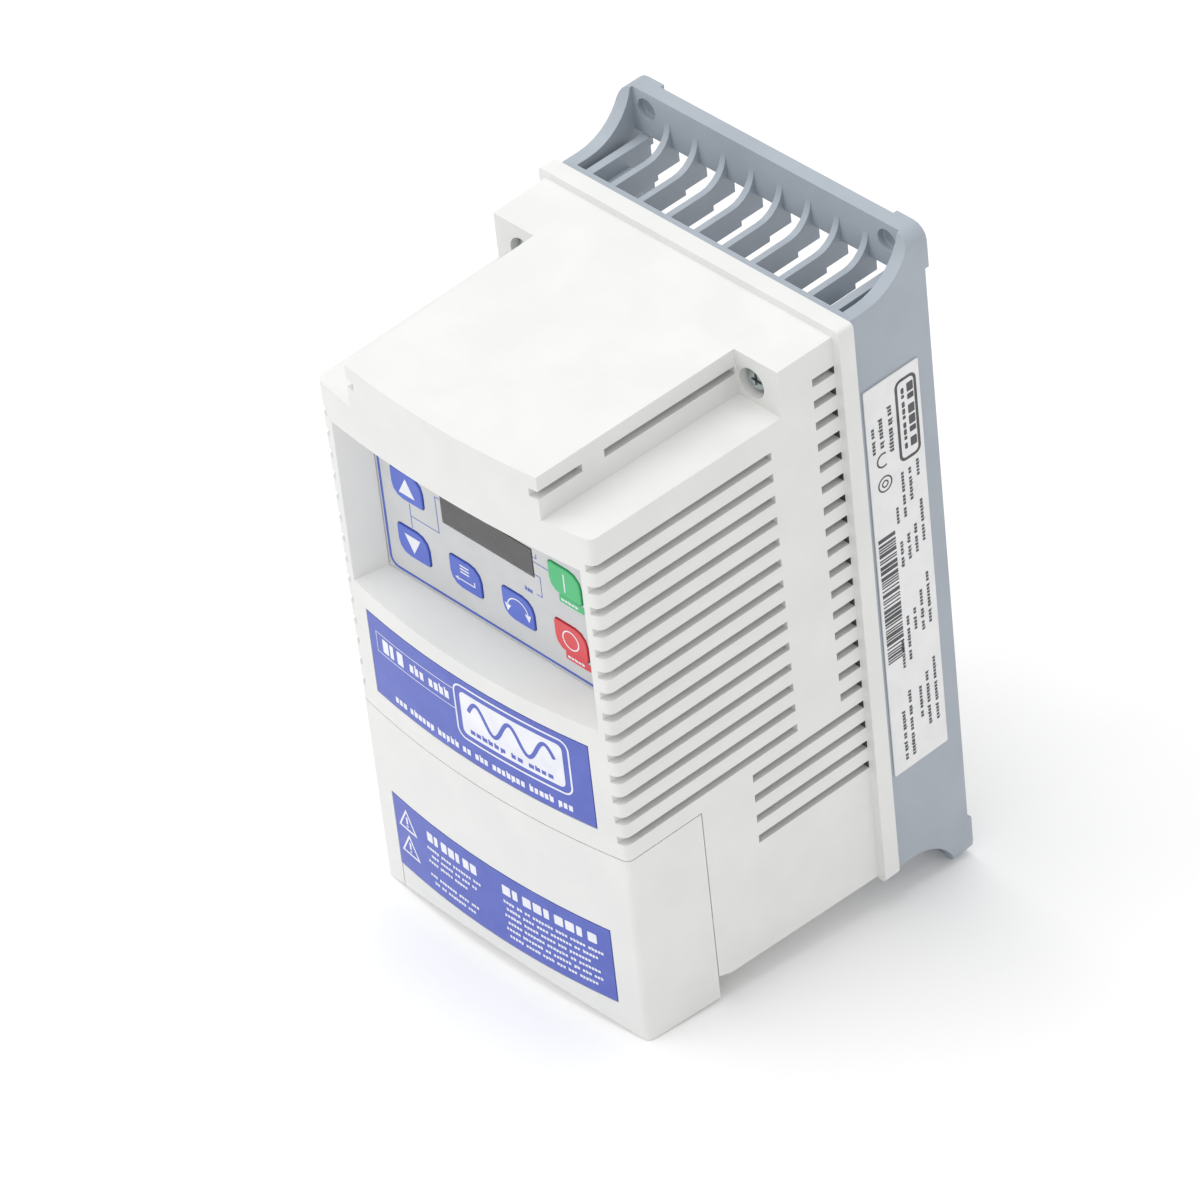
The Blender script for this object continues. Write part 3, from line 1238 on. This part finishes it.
def make_heatsink(mat):
    """Aluminium plate whose fins pass through the base and end short of the wall."""
    bm = bmesh.new()
    add_block(bm, (-SINK_PLATE_HALF, SINK_PLATE_HALF), (SINK_FRONT_Y, HOUSING_REAR_Y),
              (SINK_PLATE_BOTTOM, SINK_PLATE_TOP))
    sink = make_object("heatsink", bm, mat)

    def fins(tool):
        for i in range(FIN_COUNT):
            x = (i - (FIN_COUNT - 1) / 2) * FIN_PITCH
            add_block(tool, (x - FIN_THICKNESS / 2, x + FIN_THICKNESS / 2),
                      (HOUSING_REAR_Y - 1, PLATE_BACK_Y - FIN_BACK_GAP), (FIN_BOTTOM, FIN_TOP))

    def holes(tool):
        for x, z in sink_screw_points():
            add_rod(tool, x, z, SHANK_RADIUS + GAP, "Y", SINK_FRONT_Y - PAST, JOINT_Y + PAST,
                    SMALL_ROUND_SIDES)

    join_with(sink, fins)
    cut_with(sink, holes)
    return sink


def make_board(name, area, y_front, y_rear, holes, mat):
    """A printed circuit board with fixing holes."""
    x_low, x_high, z_low, z_high = area
    bm = bmesh.new()
    add_block(bm, (x_low, x_high), (y_front, y_rear), (z_low, z_high))
    board = make_object(name, bm, mat)

    def drill(tool):
        for x, z in holes:
            add_rod(tool, x, z, BOARD_HOLE_RADIUS, "Y", y_front - PAST,
                    y_rear + PAST, SMALL_ROUND_SIDES)

    if holes:
        cut_with(board, drill)
    return board


def standoff_points():
    """Four standoffs between the heatsink plate and the power board, as (x, z)."""
    x_low, x_high, z_low, z_high = grown(POWER_BOARD, -STANDOFF_INSET)
    return [(x, z) for x in (x_low, x_high) for z in (z_low, z_high)]


def make_electronics(mats):
    """Power board, control board and the larger components between them."""
    make_board("power_board", POWER_BOARD, POWER_BOARD_FRONT_Y, POWER_BOARD_REAR_Y,
               standoff_points(), mats["board_green"])
    make_board("control_board", CONTROL_BOARD, CONTROL_BOARD_FRONT_Y, CONTROL_BOARD_REAR_Y,
               CONTROL_BOARD_HOLES, mats["board_green"])

    for index, (x, z) in enumerate(standoff_points()):
        bm = bmesh.new()
        add_rod(bm, x, z, STANDOFF_RADIUS, "Y", POWER_BOARD_REAR_Y + GAP, SINK_FRONT_Y - GAP, 6)
        make_object("board_standoff_%d" % (index + 1), bm, mats["brass"])

    x_low, x_high, z_low, z_high = POWER_MODULE
    pad_rear = SINK_FRONT_Y - GAP
    pad_front = pad_rear - THERMAL_PAD_THICKNESS
    bm = bmesh.new()
    add_block(bm, (x_low + 1, x_high - 1), (pad_front, pad_rear), (z_low + 1, z_high - 1))
    make_object("thermal_pad", bm, mats["pad_grey"])
    bm = bmesh.new()
    add_block(bm, (x_low, x_high), (POWER_BOARD_REAR_Y + MODULE_LEG, pad_front - GAP),
              (z_low, z_high))
    make_object("power_module", bm, mats["component_black"])

    foot = POWER_BOARD_FRONT_Y - GAP
    crown = CONTROL_BOARD_REAR_Y + CAPACITOR_CLEARANCE
    profile = [(0.0, foot), (CAPACITOR_RADIUS, foot), (CAPACITOR_RADIUS, crown + 1.0),
               (CAPACITOR_RADIUS - 1.0, crown), (0.0, crown)]
    for index, x in enumerate(CAPACITOR_X):
        bm = bmesh.new()
        add_turned(bm, profile, x, CAPACITOR_Z, ROUND_SIDES)
        make_object("dc_capacitor_%d" % (index + 1), bm, mats["capacitor_sleeve"], smooth=True)

    for name, x_range, z_range, length, mat_name in BOARD_COMPONENTS:
        bm = bmesh.new()
        add_block(bm, x_range, (foot - length, foot), z_range)
        make_object(name, bm, mats[mat_name])

    x_low, x_high, z_low, z_high = BOARD_CONNECTOR
    bm = bmesh.new()
    add_block(bm, (x_low, x_high), (CONTROL_BOARD_REAR_Y + GAP, foot), (z_low, z_high))
    make_object("board_connector", bm, mats["component_black"])


def make_earth_terminal(mats):
    """Brass earth tab beside the power terminal, with its screw."""
    bm = bmesh.new()
    x_low, x_high, z_low, z_high = EARTH_TAB
    add_block(bm, (x_low, x_high),
              (DECK_FRONT_Y - EARTH_TAB_THICKNESS - GAP, DECK_FRONT_Y - GAP), (z_low, z_high))
    tab = make_object("earth_tab", bm, mats["brass"])
    screw_x, screw_z = EARTH_SCREW

    def hole(tool):
        add_rod(tool, screw_x, screw_z, SHANK_RADIUS + GAP, "Y", DECK_FRONT_Y - 2 * PAST,
                DECK_FRONT_Y + PAST, SMALL_ROUND_SIDES)

    cut_with(tab, hole)
    head_y = DECK_FRONT_Y - EARTH_TAB_THICKNESS - 2 * GAP - EARTH_HEAD[1]
    make_screw("earth_screw", screw_x, screw_z, head_y, EARTH_HEAD, EARTH_TAB_THICKNESS,
               mats["zinc"])


def make_fasteners(mats):
    """Four long housing screws and four short heatsink screws."""
    names = ("lower_left", "upper_left", "lower_right", "upper_right")
    head_y = STEP_Y + HEAD_WELL_DEPTH - GAP - HOUSING_HEAD[1]
    length = BASE_FRONT_Y + SCREW_BITE - head_y - HOUSING_HEAD[1]
    for name, (x, z) in zip(names, sorted(screw_points())):
        make_screw("housing_screw_" + name, x, z, head_y, HOUSING_HEAD, length, mats["zinc"])
    head_y = SINK_FRONT_Y - GAP - SINK_HEAD[1]
    for name, (x, z) in zip(names, sorted(sink_screw_points())):
        make_screw("heatsink_screw_" + name, x, z, head_y, SINK_HEAD,
                   SINK_PLATE + SINK_SCREW_BITE, mats["zinc"])


def build_materials():
    """Every finish, named for what it is."""
    return {
        "housing_white": finish_material("housing_white", (0.76, 0.76, 0.74), 0.45),
        "panel_white": finish_material("panel_white", (0.72, 0.72, 0.70), 0.35),
        "base_grey": finish_material("base_grey", (0.36, 0.41, 0.46), 0.5),
        "key_blue": finish_material("key_blue", (0.09, 0.14, 0.66), 0.35),
        "key_green": finish_material("key_green", (0.07, 0.62, 0.28), 0.35),
        "key_red": finish_material("key_red", (0.78, 0.06, 0.08), 0.35),
        "display_tint": finish_material("display_tint", (0.13, 0.13, 0.13), 0.15),
        "label_blue": finish_material("label_blue", (0.10, 0.13, 0.60), 0.3),
        "label_white": finish_material("label_white", (0.86, 0.86, 0.86), 0.35),
        "zinc": finish_material("zinc", (0.62, 0.66, 0.68), 0.3, 1.0),
        "aluminium": finish_material("aluminium", (0.74, 0.75, 0.76), 0.35, 1.0),
        "brass": finish_material("brass", (0.72, 0.55, 0.24), 0.3, 1.0),
        "board_green": finish_material("board_green", (0.03, 0.22, 0.10), 0.4),
        "component_black": finish_material("component_black", (0.03, 0.03, 0.035), 0.45),
        "capacitor_sleeve": finish_material("capacitor_sleeve", (0.04, 0.05, 0.12), 0.3),
        "filter_yellow": finish_material("filter_yellow", (0.75, 0.55, 0.08), 0.4),
        "pad_grey": finish_material("pad_grey", (0.45, 0.47, 0.52), 0.8),
        "terminal_green": finish_material("terminal_green", (0.06, 0.36, 0.20), 0.4),
        "terminal_grey": finish_material("terminal_grey", (0.30, 0.31, 0.32), 0.45),
    }


def main():
    clear_scene()
    mats = build_materials()
    make_rear_base(mats["base_grey"])
    make_front_housing(mats["housing_white"])
    make_terminal_cover(mats["housing_white"])
    make_heatsink(mats["aluminium"])
    make_keypad(mats)
    make_labels(mats)
    make_electronics(mats)
    make_power_block(mats["terminal_grey"])
    make_terminal_screws(mats["zinc"])
    make_control_block(mats["terminal_green"])
    make_memory_module(mats["component_black"])
    make_memory_socket(mats["terminal_grey"])
    make_switch(mats["component_black"], mats["panel_white"])
    make_earth_terminal(mats)
    make_fasteners(mats)


main()
